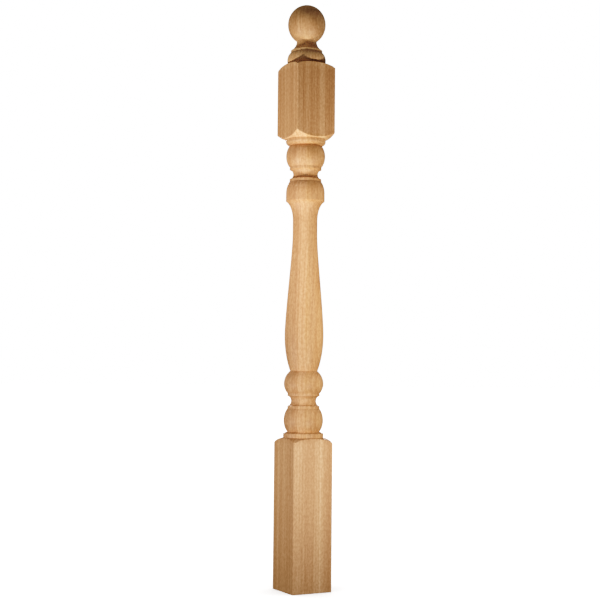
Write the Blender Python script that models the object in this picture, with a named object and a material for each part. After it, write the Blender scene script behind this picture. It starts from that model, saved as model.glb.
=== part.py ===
# A turned newel post: one blank of square wood, left square in two blocks and turned
# everywhere else, with a ball on top. It stands on z = 0 with its axis on +Z.
import math

import bmesh
import bpy

INCH = 0.0254

# The blank, and the four lengths that a catalogue gives for the post, foot to top.
SQUARE = 3.5 * INCH
LOWER_BLOCK = 12.5 * INCH
TURNING = 24.25 * INCH
UPPER_BLOCK = 6.0 * INCH
FINIAL = 5.0 * INCH

# How deep the gouge cuts below the blank's flat faces at each diameter.
BAND_CUT = 0.125 * INCH
BEAD_CUT = 0.155 * INCH
BELLY_CUT = 0.172 * INCH
BALL_CUT = 0.2 * INCH
COLLAR_CUT = 0.167 * INCH
COLLAR_SEAT_CUT = 0.3 * INCH
BEAD_SEAT_CUT = 0.45 * INCH
FILLET_CUT = 0.455 * INCH
VASE_FOOT_CUT = 0.645 * INCH
COVE_CUT = 0.745 * INCH
NECK_CUT = 0.75 * INCH
BALL_NECK_CUT = 0.9375 * INCH
# The lathe's path passes outside the corners by this much where the wood stays square.
CORNER_CLEARANCE = 0.06 * INCH

# Lower block: a rounded shoulder, then a band that runs past the block's nominal end.
LOWER_SHOULDER_HEIGHT = 0.65 * INCH
LOWER_BAND_SEAT = 0.25 * INCH
LOWER_BAND_HEIGHT = 0.33 * INCH
LOWER_BAND_STEP = 0.14 * INCH
# Bead, fillet, cove, fillet and the bead that carries the vase.
LOWER_BEAD_RISE = 0.92 * INCH
LOWER_BEAD_FALL = 0.95 * INCH
FILLET_HEIGHT = 0.21 * INCH
LOWER_COVE_HEIGHT = 0.8 * INCH
VASE_BEAD_RISE = 0.78 * INCH
VASE_BEAD_FALL = 1.03 * INCH
# Vase: a belly low down, a long taper and a straight neck.
VASE_FOOT_HEIGHT = 2.88 * INCH
BELLY_EASE = 1.75 * INCH
NECK_EASE = 1.6 * INCH
NECK_HEIGHT = 1.13 * INCH
# Cup over the neck: a hollow, an upright wall and a rounded top, then a cove.
CUP_HOLLOW_HEIGHT = 1.57 * INCH
CUP_WALL_HEIGHT = 0.65 * INCH
CUP_FALL = 0.96 * INCH
UPPER_COVE_HEIGHT = 0.785 * INCH
UPPER_BEAD_RISE = 0.88 * INCH
UPPER_BEAD_FALL = 0.88 * INCH
# Upper block: a round and a band under it, a sloping cut and a rounded shoulder.
ROUND_UNDER_HEIGHT = 0.3 * INCH
UPPER_BAND_HEIGHT = 0.2 * INCH
UPPER_BAND_SEAT = 0.21 * INCH
SLOPE_HEIGHT = 0.53 * INCH
UPPER_SHOULDER_HEIGHT = 0.6 * INCH
UPPER_SHOULDER_SEAT = 0.04 * INCH
# Collar, ring and ball.
COLLAR_RISE = 0.3 * INCH
COLLAR_FALL = 0.66 * INCH
RING_HEIGHT = 0.19 * INCH
BALL_HEIGHT = 3.24 * INCH

# How far round each curve rolls: 90 degrees ends square to the axis.
BEAD_ROLL = math.radians(50)
COVE_ROLL = math.radians(84)
CUP_ROLL = math.radians(76)
SHOULDER_ROLL = math.radians(56)
VASE_FOOT_ROLL = math.radians(37)
SLOPE_START = math.radians(67.6)
SLOPE_END = math.radians(47.4)
COLLAR_ROLL = math.radians(68)
BALL_NECK_ROLL = math.radians(60)

# Facets round the post and along each kind of curve.
SIDES = 32
CURVE_STEPS = 5
TAPER_STEPS = 10
BALL_STEPS = 11

# Modelling allowances.
BLANK_WASTE = 0.5 * INCH
MERGE_DISTANCE = 0.00002
FLAT_ANGLE = math.radians(0.02)
SHARP_ANGLE = math.radians(32)

WOOD_COLOUR = (0.55, 0.31, 0.13, 1.0)
WOOD_ROUGHNESS = 0.6


def turned(cut):
    """Radius left on the blank after a cut of this depth."""
    return SQUARE / 2 - cut


class Outline:
    """The turned outline, drawn from the foot upwards as (radius, height)."""

    def __init__(self, radius):
        self.points = [(0.0, 0.0), (radius, 0.0)]

    def at(self):
        return self.points[-1]

    def up(self, rise):
        radius, height = self.at()
        self.points.append((radius, height + rise))

    def up_to(self, height):
        self.points.append((self.at()[0], height))

    def step(self, radius, rise=0.0):
        self.points.append((radius, self.at()[1] + rise))

    def arc(self, radius, rise, begin, end, steps=CURVE_STEPS):
        """Part of an ellipse up to a new radius. The angles say which part: 0 is its outer
        side, 180 degrees its inner side, and positive angles lie above its middle."""
        start_radius, start_height = self.at()
        for step in range(1, steps + 1):
            angle = begin + (end - begin) * step / steps
            across = (math.cos(angle) - math.cos(begin)) / (math.cos(end) - math.cos(begin))
            along = (math.sin(angle) - math.sin(begin)) / (math.sin(end) - math.sin(begin))
            self.points.append((
                start_radius + (radius - start_radius) * across,
                start_height + rise * along,
            ))

    def taper(self, radius, rise, ease_start, ease_end, steps=TAPER_STEPS):
        """A long curve that leaves and arrives parallel to the axis, easing over two lengths."""
        start_radius, start_height = self.at()
        for step in range(1, steps + 1):
            t = step / steps
            first, second, third = 3 * t * (1 - t) ** 2, 3 * t**2 * (1 - t), t**3
            self.points.append((
                start_radius + (radius - start_radius) * (second + third),
                start_height + ease_start * first + (rise - ease_end) * second + rise * third,
            ))


def draw_lower_block(post):
    post.up_to(LOWER_BLOCK - LOWER_BAND_SEAT - LOWER_SHOULDER_HEIGHT)
    post.arc(turned(BAND_CUT), LOWER_SHOULDER_HEIGHT, 0, SHOULDER_ROLL)
    post.up(LOWER_BAND_HEIGHT)
    post.step(turned(BEAD_SEAT_CUT), LOWER_BAND_STEP)


def draw_cove(post, height):
    """A cove between two fillets."""
    fillet = turned(FILLET_CUT)
    post.up(FILLET_HEIGHT)
    post.arc(turned(COVE_CUT), height / 2, math.pi + COVE_ROLL, math.pi)
    post.arc(fillet, height / 2, math.pi, math.pi - COVE_ROLL)
    post.up(FILLET_HEIGHT)


def draw_lower_beads(post):
    bead = turned(BEAD_CUT)
    post.arc(bead, LOWER_BEAD_RISE, -BEAD_ROLL, 0)
    post.arc(turned(FILLET_CUT), LOWER_BEAD_FALL, 0, BEAD_ROLL)
    draw_cove(post, LOWER_COVE_HEIGHT)
    post.arc(bead, VASE_BEAD_RISE, -BEAD_ROLL, 0)
    post.arc(turned(VASE_FOOT_CUT), VASE_BEAD_FALL, 0, BEAD_ROLL)


def draw_vase(post):
    """Its taper takes up what the shapes above and below it leave of the turning."""
    above = (
        NECK_HEIGHT + CUP_HOLLOW_HEIGHT + CUP_WALL_HEIGHT + CUP_FALL
        + 2 * FILLET_HEIGHT + UPPER_COVE_HEIGHT + UPPER_BEAD_RISE + UPPER_BEAD_FALL
        + ROUND_UNDER_HEIGHT + UPPER_BAND_HEIGHT + UPPER_BAND_SEAT
    )
    post.arc(turned(BELLY_CUT), VASE_FOOT_HEIGHT, -VASE_FOOT_ROLL, 0)
    rise = LOWER_BLOCK + TURNING - above - post.at()[1]
    post.taper(turned(NECK_CUT), rise, BELLY_EASE, NECK_EASE)
    post.up(NECK_HEIGHT)


def draw_cup(post):
    post.arc(turned(BELLY_CUT), CUP_HOLLOW_HEIGHT, math.pi, math.pi - CUP_ROLL)
    post.up(CUP_WALL_HEIGHT)
    post.arc(turned(FILLET_CUT), CUP_FALL, 0, BEAD_ROLL)
    draw_cove(post, UPPER_COVE_HEIGHT)
    post.arc(turned(BEAD_CUT), UPPER_BEAD_RISE, -BEAD_ROLL, 0)
    post.arc(turned(BEAD_SEAT_CUT), UPPER_BEAD_FALL, 0, BEAD_ROLL)


def draw_upper_block(post, swing):
    top = LOWER_BLOCK + TURNING + UPPER_BLOCK + UPPER_SHOULDER_SEAT
    post.arc(turned(BAND_CUT), ROUND_UNDER_HEIGHT, -SHOULDER_ROLL, 0)
    post.up(UPPER_BAND_HEIGHT)
    post.arc(swing, SLOPE_HEIGHT, -SLOPE_START, -SLOPE_END)
    post.up_to(top - UPPER_SHOULDER_HEIGHT)
    post.arc(turned(COLLAR_SEAT_CUT), UPPER_SHOULDER_HEIGHT, 0, SHOULDER_ROLL)


def draw_finial(post):
    post.arc(turned(COLLAR_CUT), COLLAR_RISE, -COLLAR_ROLL, 0)
    post.arc(turned(FILLET_CUT), COLLAR_FALL, 0, COLLAR_ROLL)
    post.up(RING_HEIGHT)
    top = LOWER_BLOCK + TURNING + UPPER_BLOCK + FINIAL
    ball, neck = turned(BALL_CUT), turned(BALL_NECK_CUT)
    below_middle = math.acos(neck / ball)
    rise_to_top = BALL_HEIGHT / 2 * (1 + math.sin(below_middle))
    post.arc(neck, top - rise_to_top - post.at()[1], math.pi + BALL_NECK_ROLL, math.pi)
    post.arc(0.0, rise_to_top, -below_middle, math.pi / 2, BALL_STEPS)


def post_outline():
    """All the turned shapes from the foot to the top of the ball, as (radius, height)."""
    swing = SQUARE / math.sqrt(2) + CORNER_CLEARANCE
    post = Outline(swing)
    draw_lower_block(post)
    draw_lower_beads(post)
    draw_vase(post)
    draw_cup(post)
    draw_upper_block(post, swing)
    draw_finial(post)
    return post.points


def clear_scene():
    for leftover in list(bpy.data.objects):
        bpy.data.objects.remove(leftover, do_unlink=True)


def wood_material():
    wood = bpy.data.materials.new("wood")
    wood.use_nodes = True
    shader = wood.node_tree.nodes["Principled BSDF"]
    shader.inputs["Base Color"].default_value = WOOD_COLOUR
    shader.inputs["Roughness"].default_value = WOOD_ROUGHNESS
    shader.inputs["Metallic"].default_value = 0.0
    return wood


def add_object(name, mesh):
    made = bpy.data.objects.new(name, mesh)
    bpy.context.scene.collection.objects.link(made)
    return made


def turning():
    """The outline spun round +Z. Half a side of turn keeps its facets off the blank's corners."""
    angle = math.pi / SIDES
    points = [
        (radius * math.cos(angle), radius * math.sin(angle), height)
        for radius, height in reversed(post_outline())
    ]
    mesh = bpy.data.meshes.new("turning")
    mesh.from_pydata(points, [(i, i + 1) for i in range(len(points) - 1)], [])
    spun = add_object("turning", mesh)
    screw = spun.modifiers.new("Lathe", "SCREW")
    screw.steps = SIDES
    screw.render_steps = SIDES
    screw.use_merge_vertices = True
    screw.merge_threshold = MERGE_DISTANCE
    return spun


def square_blank():
    """The sawn blank, longer than the post so that its ends cut nothing."""
    length = LOWER_BLOCK + TURNING + UPPER_BLOCK + FINIAL
    mesh = bpy.data.meshes.new("square_blank")
    blank = bmesh.new()
    bmesh.ops.create_cube(blank, size=1.0)
    bmesh.ops.scale(blank, vec=(SQUARE, SQUARE, length + 2 * BLANK_WASTE), verts=blank.verts)
    bmesh.ops.translate(blank, vec=(0, 0, length / 2), verts=blank.verts)
    blank.to_mesh(mesh)
    blank.free()
    return add_object("square_blank", mesh)


def newel_post(wood):
    """The turning, kept only where the square blank had wood."""
    post = turning()
    blank = square_blank()
    square_up = post.modifiers.new("Square up", "BOOLEAN")
    square_up.operation = "INTERSECT"
    square_up.object = blank

    evaluated = post.evaluated_get(bpy.context.evaluated_depsgraph_get())
    mesh = bpy.data.meshes.new_from_object(evaluated)
    tidy = bmesh.new()
    tidy.from_mesh(mesh)
    bmesh.ops.remove_doubles(tidy, verts=tidy.verts, dist=MERGE_DISTANCE)
    bmesh.ops.dissolve_limit(
        tidy, angle_limit=FLAT_ANGLE, verts=tidy.verts, edges=tidy.edges
    )
    bmesh.ops.recalc_face_normals(tidy, faces=tidy.faces)
    tidy.to_mesh(mesh)
    tidy.free()
    mesh.shade_smooth()
    mesh.set_sharp_from_angle(angle=SHARP_ANGLE)

    bpy.data.objects.remove(post)
    bpy.data.objects.remove(blank)
    mesh.name = "newel_post"
    mesh.materials.clear()
    mesh.materials.append(wood)
    return add_object("newel_post", mesh)


clear_scene()
newel_post(wood_material())
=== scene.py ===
import math

import bpy
from mathutils import Matrix, Vector


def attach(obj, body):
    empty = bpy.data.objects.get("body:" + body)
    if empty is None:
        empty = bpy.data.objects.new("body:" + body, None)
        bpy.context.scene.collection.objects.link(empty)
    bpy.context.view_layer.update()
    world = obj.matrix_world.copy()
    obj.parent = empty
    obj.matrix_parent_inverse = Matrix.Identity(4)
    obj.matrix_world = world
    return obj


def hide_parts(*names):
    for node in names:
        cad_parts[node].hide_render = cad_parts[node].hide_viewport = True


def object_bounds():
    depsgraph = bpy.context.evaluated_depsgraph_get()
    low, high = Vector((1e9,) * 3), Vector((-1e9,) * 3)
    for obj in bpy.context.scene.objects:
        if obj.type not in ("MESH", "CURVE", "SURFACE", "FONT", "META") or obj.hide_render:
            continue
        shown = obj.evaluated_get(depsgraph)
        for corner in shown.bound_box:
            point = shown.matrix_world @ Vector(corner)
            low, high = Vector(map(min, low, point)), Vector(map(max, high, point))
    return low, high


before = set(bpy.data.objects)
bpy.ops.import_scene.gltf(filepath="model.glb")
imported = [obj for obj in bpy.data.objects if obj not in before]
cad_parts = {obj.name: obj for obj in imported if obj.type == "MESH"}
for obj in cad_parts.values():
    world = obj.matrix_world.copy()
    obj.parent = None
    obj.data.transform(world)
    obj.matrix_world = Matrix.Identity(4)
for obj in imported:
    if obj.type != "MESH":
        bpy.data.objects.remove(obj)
cadBox = [list(corner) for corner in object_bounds()]
print("frame: box", cadBox)

inch = 0.0254


# Node sockets that take plain arithmetic, so that a rule reads like a formula.
class Field:
    def __init__(self, tree, socket):
        self.tree = tree
        self.socket = socket

    def math(self, operation, *others):
        node = self.tree.nodes.new("ShaderNodeMath")
        node.operation = operation
        for socket, value in zip(node.inputs, (self, *others)):
            plug(self.tree, socket, value)
        return Field(self.tree, node.outputs[0])

    def __add__(self, other):
        return self.math("ADD", other)

    def __radd__(self, other):
        return self.math("ADD", other)

    def __sub__(self, other):
        return self.math("SUBTRACT", other)

    def __rsub__(self, other):
        return (self * -1.0).math("ADD", other)

    def __mul__(self, other):
        return self.math("MULTIPLY", other)

    def __rmul__(self, other):
        return self.math("MULTIPLY", other)

    def __truediv__(self, other):
        return self.math("DIVIDE", other)

    def split(self):
        apart = self.tree.nodes.new("ShaderNodeSeparateXYZ")
        self.tree.links.new(self.socket, apart.inputs[0])
        return [Field(self.tree, out) for out in apart.outputs]


def plug(tree, socket, value):
    if isinstance(value, Field):
        tree.links.new(value.socket, socket)
    else:
        socket.default_value = value


def live(sockets, name):
    return next(s for s in sockets if s.name == name and s.enabled)


# Adds a node, sets its options and its inputs, and gives back its named output.
def addNode(tree, kind, output, options=(), **inputs):
    node = tree.nodes.new(kind)
    for option, value in dict(options).items():
        setattr(node, option, value)
    for name, value in inputs.items():
        plug(tree, live(node.inputs, name.replace("_", " ")), value)
    return Field(tree, live(node.outputs, output))


def join(tree, x, y, z):
    return addNode(tree, "ShaderNodeCombineXYZ", "Vector", X=x, Y=y, Z=z)


# The post's sizes, in inches, foot to top. A cut is how deep the gouge goes below the flat faces.
post = {
    "square": 3.5, "lowerBlock": 12.5, "turning": 24.25, "upperBlock": 6.0, "finial": 5.0,
    "bandCut": 0.125, "beadCut": 0.155, "bellyCut": 0.172, "ballCut": 0.2, "collarCut": 0.167,
    "collarSeatCut": 0.3, "beadSeatCut": 0.45, "filletCut": 0.455, "vaseFootCut": 0.645,
    "coveCut": 0.745, "neckCut": 0.75, "ballNeckCut": 0.9375, "cornerClearance": 0.06,
    "lowerShoulder": 0.65, "lowerBandSeat": 0.25, "lowerBand": 0.33, "lowerBandStep": 0.14,
    "lowerBeadRise": 0.92, "lowerBeadFall": 0.95, "fillet": 0.21, "lowerCove": 0.8,
    "vaseBeadRise": 0.78, "vaseBeadFall": 1.03, "vaseFoot": 2.88, "bellyEase": 1.75,
    "neckEase": 1.6, "neck": 1.13, "cupHollow": 1.57, "cupWall": 0.65, "cupFall": 0.96,
    "upperCove": 0.785, "upperBeadRise": 0.88, "upperBeadFall": 0.88, "roundUnder": 0.3,
    "upperBand": 0.2, "upperBandSeat": 0.21, "slope": 0.53, "upperShoulder": 0.6,
    "upperShoulderSeat": 0.04, "collarRise": 0.3, "collarFall": 0.66, "ring": 0.19, "ball": 3.24,
}

# How far round each curve rolls, in degrees.
roll = {
    "bead": 50, "cove": 84, "cup": 76, "shoulder": 56, "vaseFoot": 37, "slopeStart": 67.6,
    "slopeEnd": 47.4, "collar": 68, "ballNeck": 60,
}

# How finely the post is made, in metres where it is a length.
making = {
    "quarterSides": 48,        # columns in each quarter of a turn
    "cornerCrowding": 1.8,     # above 1 crowds the columns towards the block's corners
    "rowSpacing": 0.0018,      # along each curve
    "taperSpacing": 0.005,     # along the vase's long taper
    "arcRows": 26,             # on each curve that the blank's flat faces cut into
    "edgeRound": 0.0009,       # eased long edges of the blocks
    "arrisRound": 0.00045,     # eased edge where a flat face meets the turning
    "turnedRound": 0.00035,    # on the turning's own edges
    "flatMargin": 0.0012,      # a row this far from each arris keeps the flat faces' shading flat
    "merge": 0.000008,         # points nearer than this become one
    "tipMargin": 0.000001,     # keeps the tip inside the solid's box
    "sharpAngle": 38,          # degrees: a sharper edge is shaded as a crease
    "arcOverChord": 1.15,      # roughly how much longer a curve is than its chord
    "fewestRows": 6,           # on a curve, however short
    "roundedCorner": (0.25, 0.5),   # a rounded corner's middle: shares of each end and of the corner
    "footRound": 0.3,          # how far in and up the foot's eased edge has its middle row
    "easedShare": 0.4,         # the most that an eased edge takes of the span beside it
    "easedFrom": 18,           # a duller edge, in degrees, stays as it is
    "shortestSpan": 0.000001,  # rows nearer than this have no edge between them
}


def size(name):
    return post[name] * inch


def turned(name):
    return (post["square"] / 2 - post[name + "Cut"]) * inch


# The rows of the post's grid, foot to top. A plain row has its radius and height, and an inset
# from the flat faces. A cut row lies on a curve that the flat faces cut, so its place changes
# round the post and the nodes work it out.
class Outline:
    def __init__(self):
        self.rows = []

    def place(self, radius, height, inset=0.0):
        self.rows.append({"at": (radius, 0.0, height), "heights": (0.0, 0.0, inset)})

    def at(self):
        return self.rows[-1]["at"][0], self.rows[-1]["at"][2]

    def up(self, rise):
        radius, height = self.at()
        self.place(radius, height + rise)

    def step(self, radius, rise):
        self.place(radius, self.at()[1] + rise)

    # Part of an ellipse up to a new radius: 0 degrees is its outer side, 180 its inner side.
    def arc(self, radius, rise, begin, end):
        startRadius, startHeight = self.at()
        begin, end = math.radians(begin), math.radians(end)
        length = math.hypot(radius - startRadius, rise) * making["arcOverChord"]
        steps = max(making["fewestRows"], round(length / making["rowSpacing"]))
        for step in range(1, steps + 1):
            angle = begin + (end - begin) * step / steps
            across = (math.cos(angle) - math.cos(begin)) / (math.cos(end) - math.cos(begin))
            along = (math.sin(angle) - math.sin(begin)) / (math.sin(end) - math.sin(begin))
            self.place(startRadius + (radius - startRadius) * across, startHeight + rise * along)

    # A long curve that leaves and arrives parallel to the axis.
    def taper(self, radius, rise, easeStart, easeEnd):
        startRadius, startHeight = self.at()
        steps = round(rise / making["taperSpacing"])
        for step in range(1, steps + 1):
            t = step / steps
            first, second, third = 3 * t * (1 - t) ** 2, 3 * t**2 * (1 - t), t**3
            self.place(
                startRadius + (radius - startRadius) * (second + third),
                startHeight + easeStart * first + (rise - easeEnd) * second + rise * third,
            )

    # A curve cut by the flat faces. It meets them at one end and keeps its other end, far. Two rows
    # lie on the flat face, one rounds the arris and the rest follow the curve. Each has its share
    # of the curve, its weights on the face and on the arris, and its margin.
    def cutArc(self, startRadius, startHeight, radius, rise, begin, end, facesFirst):
        begin, end = math.radians(begin), math.radians(end)
        far = end if facesFirst else begin
        onFace, onArris, onCurve = (1.0, 0.0), making["roundedCorner"], (0.0, 0.0)
        rows = [(0.0, *onFace, making["flatMargin"]), (0.0, *onFace, 0.0), (0.0, *onArris, 0.0)]
        rows += [(step / making["arcRows"], *onCurve, 0.0) for step in range(making["arcRows"] + 1)]
        farAt = (radius, 0.0, startHeight + rise) if facesFirst else (startRadius, 0.0, startHeight)
        made = [{
            "at": farAt,
            "radii": (startRadius, radius, share),
            "heights": (startHeight, rise, margin),
            "angles": (begin, end, far),
            "weights": (onFlat, onCorner, 1.0),
        } for share, onFlat, onCorner, margin in rows]
        self.rows += made if facesFirst else made[::-1]

    # Rounds the turning's own sharp edges with two more rows each.
    def ease(self, radius):
        endShare, cornerShare = making["roundedCorner"]
        eased = [self.rows[0]]
        for before, row, after in zip(self.rows, self.rows[1:], self.rows[2:]):
            into = Vector(row["at"]) - Vector(before["at"])
            away = Vector(after["at"]) - Vector(row["at"])
            onBlank = row["heights"][2] or row["at"][0] > size("square") / 2
            nearCut = any("angles" in each for each in (before, row, after))
            tooShort = min(into.length, away.length) < making["shortestSpan"]
            if onBlank or nearCut or tooShort or math.degrees(into.angle(away)) < making["easedFrom"]:
                eased.append(row)
                continue
            reachIn = min(radius, into.length * making["easedShare"])
            reachOut = min(radius, away.length * making["easedShare"])
            start = Vector(row["at"]) - into.normalized() * reachIn
            finish = Vector(row["at"]) + away.normalized() * reachOut
            middle = (start + finish) * endShare + Vector(row["at"]) * cornerShare
            eased += [{"at": tuple(p), "heights": (0.0, 0.0, 0.0)} for p in (start, middle, finish)]
        self.rows = eased + [self.rows[-1]]


def drawFoot(outline):
    wide, eased = size("square"), making["edgeRound"]
    outline.place(0.0, 0.0)
    outline.place(turned("neck"), 0.0)
    outline.place(wide, 0.0, inset=eased)
    outline.place(wide, eased * making["footRound"], inset=eased * making["footRound"])
    outline.place(wide, eased)
    outline.place(wide, eased + making["flatMargin"])


def drawCove(outline, height):
    outline.up(size("fillet"))
    outline.arc(turned("cove"), height / 2, 180 + roll["cove"], 180)
    outline.arc(turned("fillet"), height / 2, 180, 180 - roll["cove"])
    outline.up(size("fillet"))


def drawBead(outline, rise, fall, endRadius):
    outline.arc(turned("bead"), rise, -roll["bead"], 0)
    outline.arc(endRadius, fall, 0, roll["bead"])


def drawPost():
    outline = Outline()
    swing = size("square") / math.sqrt(2) + size("cornerClearance")
    drawFoot(outline)

    blockEnd = size("lowerBlock") - size("lowerBandSeat")
    shoulder = size("lowerShoulder")
    outline.cutArc(swing, blockEnd - shoulder, turned("band"), shoulder, 0, roll["shoulder"], True)
    outline.up(size("lowerBand"))
    outline.step(turned("beadSeat"), size("lowerBandStep"))

    drawBead(outline, size("lowerBeadRise"), size("lowerBeadFall"), turned("fillet"))
    drawCove(outline, size("lowerCove"))
    drawBead(outline, size("vaseBeadRise"), size("vaseBeadFall"), turned("vaseFoot"))

    above = sum(size(name) for name in (
        "neck", "cupHollow", "cupWall", "cupFall", "fillet", "fillet", "upperCove",
        "upperBeadRise", "upperBeadFall", "roundUnder", "upperBand", "upperBandSeat",
    ))
    outline.arc(turned("belly"), size("vaseFoot"), -roll["vaseFoot"], 0)
    rise = size("lowerBlock") + size("turning") - above - outline.at()[1]
    outline.taper(turned("neck"), rise, size("bellyEase"), size("neckEase"))
    outline.up(size("neck"))

    outline.arc(turned("belly"), size("cupHollow"), 180, 180 - roll["cup"])
    outline.up(size("cupWall"))
    outline.arc(turned("fillet"), size("cupFall"), 0, roll["bead"])
    drawCove(outline, size("upperCove"))
    drawBead(outline, size("upperBeadRise"), size("upperBeadFall"), turned("beadSeat"))

    outline.arc(turned("band"), size("roundUnder"), -roll["shoulder"], 0)
    outline.up(size("upperBand"))
    bandTop = outline.at()[1]
    outline.cutArc(
        turned("band"), bandTop, swing, size("slope"), -roll["slopeStart"], -roll["slopeEnd"], False,
    )
    top = size("lowerBlock") + size("turning") + size("upperBlock") + size("upperShoulderSeat")
    shoulder = size("upperShoulder")
    outline.cutArc(swing, top - shoulder, turned("collarSeat"), shoulder, 0, roll["shoulder"], True)

    outline.arc(turned("collar"), size("collarRise"), -roll["collar"], 0)
    outline.arc(turned("fillet"), size("collarFall"), 0, roll["collar"])
    outline.up(size("ring"))
    tip = min(cadBox[1][2], size("lowerBlock") + size("turning") + size("upperBlock") + size("finial"))
    tip -= making["tipMargin"]
    belowMiddle = math.acos(turned("ballNeck") / turned("ball"))
    riseToTip = size("ball") / 2 * (1 + math.sin(belowMiddle))
    outline.arc(turned("ballNeck"), tip - riseToTip - outline.at()[1], 180 + roll["ballNeck"], 180)
    outline.arc(0.0, riseToTip, -math.degrees(belowMiddle), 90)
    outline.ease(making["turnedRound"])
    return outline.rows


def outlineObject(rows):
    mesh = bpy.data.meshes.new("outline")
    mesh.from_pydata([row["at"] for row in rows], [], [])
    for name in ("radii", "heights", "angles", "weights"):
        layer = mesh.attributes.new(name, "FLOAT_VECTOR", "POINT")
        for index, row in enumerate(rows):
            layer.data[index].vector = row.get(name, (0.0, 0.0, 0.0))
    made = bpy.data.objects.new("newelPostTurned", mesh)
    bpy.context.scene.collection.objects.link(made)
    return made


# Radius of the blank's square outline in a direction, with its corners eased.
def squareRadius(angle, width, eased):
    across = angle.math("COSINE").math("ABSOLUTE")
    along = angle.math("SINE").math("ABSOLUTE")
    most = across.math("MAXIMUM", along)
    least = across.math("MINIMUM", along)
    half = width / 2.0
    centre = half - eased
    flat = half / most
    lean = centre * (most - least)
    rounded = centre * (most + least) + (eased * eased - lean * lean).math("MAXIMUM", 0.0).math("SQRT")
    onCorner = (half * least / most).math("GREATER_THAN", centre)
    return flat + (rounded - flat) * onCorner


def latheTree():
    tree = bpy.data.node_groups.new("turnAndSquare", "GeometryNodeTree")
    interface = tree.interface
    interface.new_socket("Geometry", in_out="OUTPUT", socket_type="NodeSocketGeometry")
    interface.new_socket("Outline", in_out="INPUT", socket_type="NodeSocketGeometry")
    for name, kind in (
        ("Sides per quarter", "Int"), ("Corner crowding", "Float"), ("Square width", "Float"),
        ("Edge round", "Float"), ("Arris round", "Float"), ("Merge distance", "Float"),
        ("Sharp angle", "Float"), ("Finish", "Material"),
    ):
        interface.new_socket(name, in_out="INPUT", socket_type="NodeSocket" + kind)
    given = tree.nodes.new("NodeGroupInput")
    wanted = {s.name: Field(tree, s) for s in given.outputs if s.name}
    outline, crowding = wanted["Outline"], wanted["Corner crowding"]

    ofMesh = {"component": "MESH"}
    rows = addNode(tree, "GeometryNodeAttributeDomainSize", "Point Count", ofMesh, Geometry=outline)
    columns = wanted["Sides per quarter"] * 4.0 + 1.0
    grid = addNode(tree, "GeometryNodeMeshGrid", "Mesh", Vertices_X=columns, Vertices_Y=rows)
    index = addNode(tree, "GeometryNodeInputIndex", "Index")
    column = (index / rows).math("FLOOR")
    row = index - column * rows

    def rowVector(name):
        kind = {"data_type": "FLOAT_VECTOR"}
        if name == "position":
            value = addNode(tree, "GeometryNodeInputPosition", "Position")
        else:
            value = addNode(tree, "GeometryNodeInputNamedAttribute", "Attribute", kind, Name=name)
        sampled = addNode(
            tree, "GeometryNodeSampleIndex", "Value", {**kind, "domain": "POINT"},
            Geometry=outline, Value=value, Index=row,
        )
        return sampled.split()

    plainRadius, _, plainHeight = rowVector("position")
    fromRadius, toRadius, share = rowVector("radii")
    foot, rise, spare = rowVector("heights")
    begin, end, far = rowVector("angles")
    onFlat, onCorner, isCut = rowVector("weights")

    # Columns round the post, crowded towards the four corners.
    turn = column / wanted["Sides per quarter"]
    quarter = turn.math("FLOOR")
    off = (turn - quarter) * 2.0 - 1.0
    crowded = off.math("SIGN") * off.math("ABSOLUTE").math("POWER", crowding)
    angle = (quarter + 0.5 + crowded * 0.5) * (math.pi / 2)
    face = squareRadius(angle, wanted["Square width"], wanted["Edge round"])

    # Where the curve meets the face, and this row's own place on the rest of it. The curve's rows
    # start past the rounded arris, whose width counts as a turn round a curve of the shoulder's size.
    cosBegin, sinBegin = begin.math("COSINE"), begin.math("SINE")
    cosSpan, sinSpan = end.math("COSINE") - cosBegin, end.math("SINE") - sinBegin
    side = far.math("SIGN")
    meets = side * (cosBegin + (face - fromRadius) / (toRadius - fromRadius) * cosSpan).math("ARCCOSINE")
    nudge = side * wanted["Arris round"] / size("lowerShoulder")
    here = meets + nudge + (far - meets - nudge) * share
    curveRadius = fromRadius + (toRadius - fromRadius) * (here.math("COSINE") - cosBegin) / cosSpan
    curveHeight = foot + rise * (here.math("SINE") - sinBegin) / sinSpan
    meetHeight = foot + rise * (meets.math("SINE") - sinBegin) / sinSpan
    flatHeight = meetHeight - side * (wanted["Arris round"] + spare)
    onCurve = 1.0 - onFlat - onCorner
    cutRadius = face * (onFlat + onCorner) + curveRadius * onCurve
    cutHeight = flatHeight * onFlat + meetHeight * onCorner + curveHeight * onCurve

    turnedRadius = plainRadius.math("MINIMUM", face - spare)

    def choose(plain, cut):
        ways = {"Switch": isCut, "False": plain, "True": cut}
        return addNode(tree, "GeometryNodeSwitch", "Output", {"input_type": "FLOAT"}, **ways)

    radius, height = choose(turnedRadius, cutRadius), choose(plainHeight, cutHeight)
    place = join(tree, radius * angle.math("COSINE"), radius * angle.math("SINE"), height)
    shaped = addNode(tree, "GeometryNodeSetPosition", "Geometry", Geometry=grid, Position=place)
    closed = addNode(
        tree, "GeometryNodeMergeByDistance", "Geometry",
        Geometry=shaped, Distance=wanted["Merge distance"],
    )
    smooth = addNode(tree, "GeometryNodeSetShadeSmooth", "Geometry", {"domain": "FACE"}, Geometry=closed)
    bend = addNode(tree, "GeometryNodeInputMeshEdgeAngle", "Unsigned Angle")
    sharp = bend.math("GREATER_THAN", wanted["Sharp angle"])
    creased = addNode(
        tree, "GeometryNodeSetShadeSmooth", "Geometry", {"domain": "EDGE"},
        Geometry=smooth, Selection=sharp, Shade_Smooth=False,
    )
    whole = addNode(tree, "GeometryNodeRealizeInstances", "Geometry", Geometry=creased)
    finished = addNode(
        tree, "GeometryNodeSetMaterial", "Geometry", Geometry=whole, Material=wanted["Finish"],
    )
    output = tree.nodes.new("NodeGroupOutput")
    tree.links.new(finished.socket, output.inputs[0])
    return tree


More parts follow.
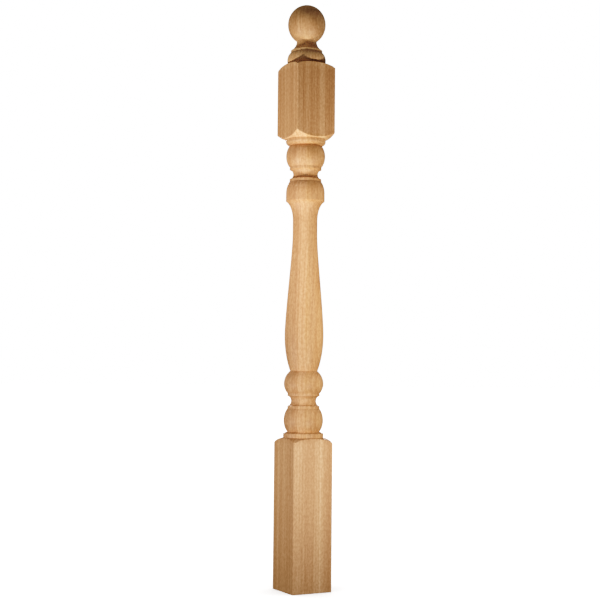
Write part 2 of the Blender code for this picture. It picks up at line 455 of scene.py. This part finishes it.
def makePost(finish):
    made = outlineObject(drawPost())
    modifier = made.modifiers.new("turnAndSquare", "NODES")
    tree = latheTree()
    modifier.node_group = tree
    settings = {
        "Sides per quarter": making["quarterSides"],
        "Corner crowding": making["cornerCrowding"],
        "Square width": size("square"),
        "Edge round": making["edgeRound"],
        "Arris round": making["arrisRound"],
        "Merge distance": making["merge"],
        "Sharp angle": math.radians(making["sharpAngle"]),
        "Finish": finish,
    }
    for item in tree.interface.items_tree:
        if item.in_out == "INPUT" and item.name in settings:
            modifier[item.identifier] = settings[item.name]
    evaluated = made.evaluated_get(bpy.context.evaluated_depsgraph_get())
    mesh = bpy.data.meshes.new_from_object(evaluated)
    made.modifiers.clear()
    made.data = mesh
    mesh.name = "newelPostTurned"
    return made


# The wood. Its growth rings are flat sheets that run the post's length, so one number, how far a
# point lies across them, gives the bands on every face and turning. A few broad bands and streaks
# stand roughly where the photograph has them, and noise makes all the finer ones.
wood = {
    "colour": (0.62, 0.324, 0.152),
    "toneTint": (1.0, 1.45, 1.85),     # powers of the tone: pale bands are also less orange
    "ringSlant": 1.05,                 # the direction across the sheets, -y for each x
    "waver": 0.0006, "waverAcross": 9.0, "waverUp": 1.3,
    "bandsFrom": -64.0, "bandsTo": 64.0,
    "bands": (                         # millimetres across the rings, and tone
        (-62, 0.98), (0, 1.0), (24, 0.95), (36, 1.03), (44, 1.15), (48, 1.0), (55, 0.88), (61, 0.93),
    ),
    "paintedShadeAndTone": (                         # metres up the post, and what the colour is multiplied by: partly the wood's tone, partly painted light and shade
        (0.0, (1.02, 1.06, 1.1)), (0.3, (1.02, 1.08, 1.15)),      # lower block
        (0.312, (0.89, 0.9, 0.91)), (0.45, (1.04, 1.04, 1.04)),   # lower beads, foot of the vase
        (0.7, (0.98, 0.97, 0.97)), (0.8, (0.92, 0.9, 0.89)),      # neck, cup
        (0.92, (0.94, 0.94, 0.93)), (1.07, (0.9, 0.89, 0.88)),    # band, upper block
        (1.09, (1.08, 1.17, 1.2)), (1.12, (1.08, 1.22, 1.27)),    # collar, ring: their shade painted lighter and less red
        (1.15, (0.87, 0.89, 0.88)), (1.185, (0.91, 0.94, 0.93)),  # ball: its lower half painted darker
        (1.21, (1.25, 1.35, 1.1)),                                # its top, painted lighter
    ),
    "paintedShadeAndToneTo": 1.25,
    "slopeFrom": 0.9282, "slopeTo": 0.943,
    "slopeHighlightTint": (1.22, 1.29, 1.4),    # the slope into the upper block, facing the low lamps, is painted paler: a painted highlight
    "streaks": (                       # millimetres across, half width, tone, from and to a height
        (11, 1.5, 0.8, 0.94, 1.08), (47, 1.5, 0.9, 0.94, 1.08), (13.3, 1.3, 1.12, 0.32, 0.94),
        (16.5, 2.0, 0.92, 0.0, 0.31), (13.5, 1.3, 1.1, 1.1, 1.3),
    ),
    "side": 0.0133, "sideBlend": 0.003, "sideFrom": 0.309, "sideTo": 0.935,    # metres, across and up
    # the amber tint also darkens its side: painted shade
    "rosyTint": (1.01, 1.01, 1.04), "amberAndShadeTint": (0.96, 0.945, 0.88),
    "grain": {                         # cycles a metre across, along and up; softness; strength
        "seasons": (75.0, 12.0, 0.4, 0.14, 0.022),
        "rings": (150.0, 20.0, 0.6, 0.12, 0.03),
        "lines": (240.0, 40.0, 1.1, 0.12, 0.036),
        "hairs": (430.0, 60.0, 1.2, 0.08, 0.05),
        "fibres": (800.0, 800.0, 16.0, 0.3, 0.056),
        "speckle": (300.0, 300.0, 190.0, 0.14, 0.075),
    },
    "fleck": (-0.0325, -0.0203, 0.828), "fleckRadius": 0.003, "fleckCore": 0.3, "fleckTone": 1.35,
    "pores": (2100.0, 2100.0, 150.0), "poreFrom": 0.66, "poreTo": 0.78, "poreTone": 0.86,
    "roughness": 0.56, "roughnessChange": 0.14, "specular": 0.35,
    "bumpStrength": 0.35, "bumpDepth": 0.00012,
}


def noiseField(tree, place, detail=2.0):
    settings = {"Scale": 1.0, "Detail": detail, "Roughness": 0.5}
    return addNode(tree, "ShaderNodeTexNoise", "Fac", Vector=place, **settings)


def smoothStep(tree, value, low, high):
    settings = {"Value": value, "From Min": low, "From Max": high}
    options = {"interpolation_type": "SMOOTHSTEP"}
    return addNode(tree, "ShaderNodeMapRange", "Result", options, **settings)


def between(value, low, high):
    return value.math("GREATER_THAN", low) * value.math("LESS_THAN", high)


def rampField(tree, value, low, high, stops):
    ramp = tree.nodes.new("ShaderNodeValToRGB")
    spots = ramp.color_ramp.elements
    while len(spots) < len(stops):
        spots.new(1.0)
    for spot, (at, tone) in zip(spots, stops):
        spot.position = (at - low) / (high - low)
        spot.color = (tone, tone, tone, 1.0) if isinstance(tone, (int, float)) else (*tone, 1.0)
    plug(tree, ramp.inputs["Fac"], (value - low) / (high - low))
    return Field(tree, ramp.outputs["Color"])


def woodMaterial():
    material = bpy.data.materials.new("turnedWood")
    material.use_nodes = True
    tree = material.node_tree
    shader = tree.nodes["Principled BSDF"]
    x, y, z = addNode(tree, "ShaderNodeTexCoord", "Object").split()

    slant = wood["ringSlant"]
    norm = math.hypot(1.0, slant)
    across = (x - y * slant) / norm
    along = (x * slant + y) / norm
    wavy = join(tree, across * wood["waverAcross"], along * wood["waverAcross"], z * wood["waverUp"])
    ring = across + (noiseField(tree, wavy) - 0.5) * (2 * wood["waver"])
    millimetres = ring * 1000.0
    bands = rampField(tree, millimetres, wood["bandsFrom"], wood["bandsTo"], wood["bands"])
    tone = bands.split()[0]

    grain = {}
    for name, (fineAcross, fineAlong, fineUp, soft, strength) in wood["grain"].items():
        grain[name] = noiseField(tree, join(tree, ring * fineAcross, along * fineAlong, z * fineUp))
        pale = smoothStep(tree, grain[name], 0.5 - soft, 0.5 + soft)
        tone = tone * (1.0 + (pale - 0.5) * strength * 2.0)
    poreAcross, poreAlong, poreUp = wood["pores"]
    pits = noiseField(tree, join(tree, ring * poreAcross, along * poreAlong, z * poreUp), 0.0)
    pores = smoothStep(tree, pits, wood["poreFrom"], wood["poreTo"])
    tone = tone * (1.0 - pores * (1.0 - wood["poreTone"]))

    gapX, gapY, gapZ = (here - spot for here, spot in zip((x, y, z), wood["fleck"]))
    gap = (gapX * gapX + gapY * gapY + gapZ * gapZ).math("SQRT")
    fleck = smoothStep(tree, gap, wood["fleckRadius"], wood["fleckRadius"] * wood["fleckCore"])
    tone = tone * (1.0 + fleck * (wood["fleckTone"] - 1.0))

    for at, half, strength, low, high in wood["streaks"]:
        near = smoothStep(tree, (millimetres - at).math("ABSOLUTE"), half, 0.0)
        tone = tone * (1.0 + near * between(z, low, high) * (strength - 1.0))

    # The long turning is a little rosier on one side of one ring, and more amber on the other; the amber
    # side is also painted a little darker, painted shade.
    side = smoothStep(tree, ring - wood["side"], -wood["sideBlend"], wood["sideBlend"])
    onTurning = between(z, wood["sideFrom"], wood["sideTo"])

    # The slope is told from the flat faces around it by being cut below them. It carries the painted
    # highlight.
    reach = x.math("ABSOLUTE").math("MAXIMUM", y.math("ABSOLUTE"))
    below = reach.math("LESS_THAN", size("square") / 2 - making["arrisRound"] / 2)
    slopeHighlightMask = between(z, wood["slopeFrom"], wood["slopeTo"]) * below

    # Painted light and shade by height: each part of the post is made lighter or darker, and its shade
    # less red, on top of the wood's own tone.
    paintedShadeAndTone = rampField(tree, z, 0.0, wood["paintedShadeAndToneTo"], wood["paintedShadeAndTone"]).split()
    tints = zip(wood["toneTint"], wood["rosyTint"], wood["amberAndShadeTint"], wood["slopeHighlightTint"])
    shades = []
    for base, (power, rosy, amber, pale), heightShade in zip(wood["colour"], tints, paintedShadeAndTone):
        # the amber side's darkening is painted shade
        sided = (side * (amber - rosy) + (rosy - 1.0)) * onTurning + 1.0
        # painted highlight on the slope
        slopeHighlight = slopeHighlightMask * (pale - 1.0) + 1.0
        shades.append(tone.math("POWER", power) * base * sided * heightShade * slopeHighlight)
    red, green, blue = shades
    colour = addNode(tree, "ShaderNodeCombineColor", "Color", Red=red, Green=green, Blue=blue)

    plug(tree, shader.inputs["Base Color"], colour)
    uneven = (grain["fibres"] - 0.5) * wood["roughnessChange"]
    plug(tree, shader.inputs["Roughness"], wood["roughness"] + uneven)
    shader.inputs["Specular IOR Level"].default_value = wood["specular"]
    relief = grain["fibres"] - pores
    bump = addNode(
        tree, "ShaderNodeBump", "Normal",
        Strength=wood["bumpStrength"], Distance=wood["bumpDepth"], Height=relief,
    )
    plug(tree, shader.inputs["Normal"], bump)
    return material


newelPost = makePost(woodMaterial())
print("post:", len(newelPost.data.vertices), "points", len(newelPost.data.polygons), "faces")

studio = {
    "lens": 75.93, "sensor": 36.0,
    "cameraAway": 2.6152, "cameraHeight": 0.4420,
    "cameraTurn": -28.177,      # degrees round the post: the camera stands to the front left
    "cameraYaw": 0.199, "cameraPitch": 3.332, "cameraRoll": 0.53,
    "cameraSees": 100.0,
    "floorRadius": 40.0, "floorSides": 64, "floorColour": (0.8, 0.8, 0.8, 1.0), "floorRoughness": 0.9,
    "floorSun": 4.4, "floorSunSpread": 110.0, "floorSunHeight": 3.0,
    "backdrop": 1.0, "fromAbove": 0.153, "fromBelow": 0.012,
    "spotTop": 1.21, "spotBlend": 0.8,
    # The tone curve of a print: how steep it starts, how soft its shoulder is and where black lies.
    "printSteep": 1.3, "printShoulder": 0.42, "printBlack": 0.01,
    "printAt": (0.03, 0.1, 0.2, 0.3, 0.4, 0.5, 0.6, 0.8),
}

# Each lamp: degrees round from the camera, distance, height, radius and watts. One with a sixth
# number is a spot turned up the post, and lights it from that height up.
lamps = {
    "keyLeft": (-55, 1.0, 0.16, 0.02, 22.6, 0.47),
    "keyRight": (45, 0.75, 0.15, 0.02, 8.5, 0.46),
    "lowLeft": (-65, 1.0, 0.16, 0.02, 16.4, -0.4),
    "lowRight": (30, 0.75, 0.15, 0.02, 12.6, -0.3),
    "highLeft": (-55, 0.75, 0.9, 0.02, 1.75),
    "highRight": (52, 0.45, 0.67, 0.02, 2.0),
    "backLeft": (-177, 1.6, 1.1, 0.1, 36.0),
    "backRight": (176, 1.6, 1.1, 0.1, 20.0),
}


def addCamera():
    data = bpy.data.cameras.new("camera")
    data.lens = studio["lens"]
    data.sensor_width = studio["sensor"]
    data.clip_end = studio["cameraSees"]
    made = bpy.data.objects.new("camera", data)
    bpy.context.scene.collection.objects.link(made)
    turn = math.radians(studio["cameraTurn"])
    heading = Matrix.Rotation(turn + math.radians(studio["cameraYaw"]), 4, "Z")
    tilt = Matrix.Rotation(math.radians(90 + studio["cameraPitch"]), 4, "X")
    lean = Matrix.Rotation(math.radians(studio["cameraRoll"]), 4, "Z")
    away = studio["cameraAway"]
    stand = Vector((math.sin(turn) * away, -math.cos(turn) * away, studio["cameraHeight"]))
    made.matrix_world = Matrix.Translation(stand) @ heading @ tilt @ lean
    bpy.context.scene.camera = made


def addFloor():
    material = bpy.data.materials.new("paleFloor")
    material.use_nodes = True
    shader = material.node_tree.nodes["Principled BSDF"]
    shader.inputs["Base Color"].default_value = studio["floorColour"]
    shader.inputs["Roughness"].default_value = studio["floorRoughness"]
    shader.inputs["Specular IOR Level"].default_value = 0.0
    reach, sides = studio["floorRadius"], studio["floorSides"]
    mesh = bpy.data.meshes.new("floor")
    turns = [2 * math.pi * side / sides for side in range(sides)]
    edge = [(reach * math.cos(turn), reach * math.sin(turn), 0) for turn in turns]
    mesh.from_pydata(edge, [], [list(range(sides))])
    mesh.materials.append(material)
    made = bpy.data.objects.new("floor", mesh)
    bpy.context.scene.collection.objects.link(made)
    made.visible_diffuse = False
    made.visible_glossy = False
    return made


# Says whether a light falls on the floor alone, or on everything but the floor.
def linkToFloor(light, floor, state):
    receivers = bpy.data.collections.new(light.name + "Receivers")
    receivers.objects.link(floor)
    receivers.collection_objects[0].light_linking.link_state = state
    light.light_linking.receiver_collection = receivers


def addLight(name, kind, energy, floor, state):
    data = bpy.data.lights.new(name, kind)
    data.energy = energy
    made = bpy.data.objects.new(name, data)
    bpy.context.scene.collection.objects.link(made)
    linkToFloor(made, floor, state)
    return made


def addLamps(floor):
    for name, (azimuth, distance, height, radius, watts, *lowest) in lamps.items():
        lamp = addLight(name, "SPOT" if lowest else "POINT", watts, floor, "EXCLUDE")
        lamp.data.shadow_soft_size = radius
        turn = math.radians(studio["cameraTurn"] + azimuth)
        lamp.location = (math.sin(turn) * distance, -math.cos(turn) * distance, height)
        lamp.visible_camera = False
        if lowest:
            upward = math.atan2(studio["spotTop"] - height, distance)
            lamp.rotation_euler = (math.pi / 2 + upward, 0.0, turn)
            lamp.data.spot_size = 2 * (upward - math.atan2(lowest[0] - height, distance))
            lamp.data.spot_blend = studio["spotBlend"]
    overhead = addLight("floorSun", "SUN", studio["floorSun"], floor, "INCLUDE")
    overhead.data.angle = math.radians(studio["floorSunSpread"])
    overhead.location = (0.0, 0.0, studio["floorSunHeight"])


# White behind the post. The world lights the post far less than that, and mostly from above.
def addWorld():
    world = bpy.data.worlds.new("studio")
    world.use_nodes = True
    bpy.context.scene.world = world
    tree = world.node_tree
    _, _, up = addNode(tree, "ShaderNodeTexCoord", "Generated").split()
    above = up.math("GREATER_THAN", 0.0)
    light = above * (studio["fromAbove"] - studio["fromBelow"]) + studio["fromBelow"]
    seen = addNode(tree, "ShaderNodeLightPath", "Is Camera Ray")
    background = tree.nodes["Background"]
    background.inputs["Color"].default_value = (1.0, 1.0, 1.0, 1.0)
    plug(tree, background.inputs["Strength"], light + seen * (studio["backdrop"] - light))


def setView():
    view = bpy.context.scene.view_settings
    view.view_transform = "Standard"
    view.use_curve_mapping = True
    allChannels = view.curve_mapping.curves[3]
    black, shoulder = studio["printBlack"], studio["printShoulder"]
    for given in studio["printAt"]:
        lit = ((given - black) / (1 - black)) ** studio["printSteep"]
        allChannels.points.new(given, lit * (1 + shoulder) / (lit + shoulder))
    view.curve_mapping.update()


addCamera()
floor = addFloor()
addLamps(floor)
addWorld()
setView()
print("studio:", len(lamps), "lamps")

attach(newelPost, "root")
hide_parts("newel_post")
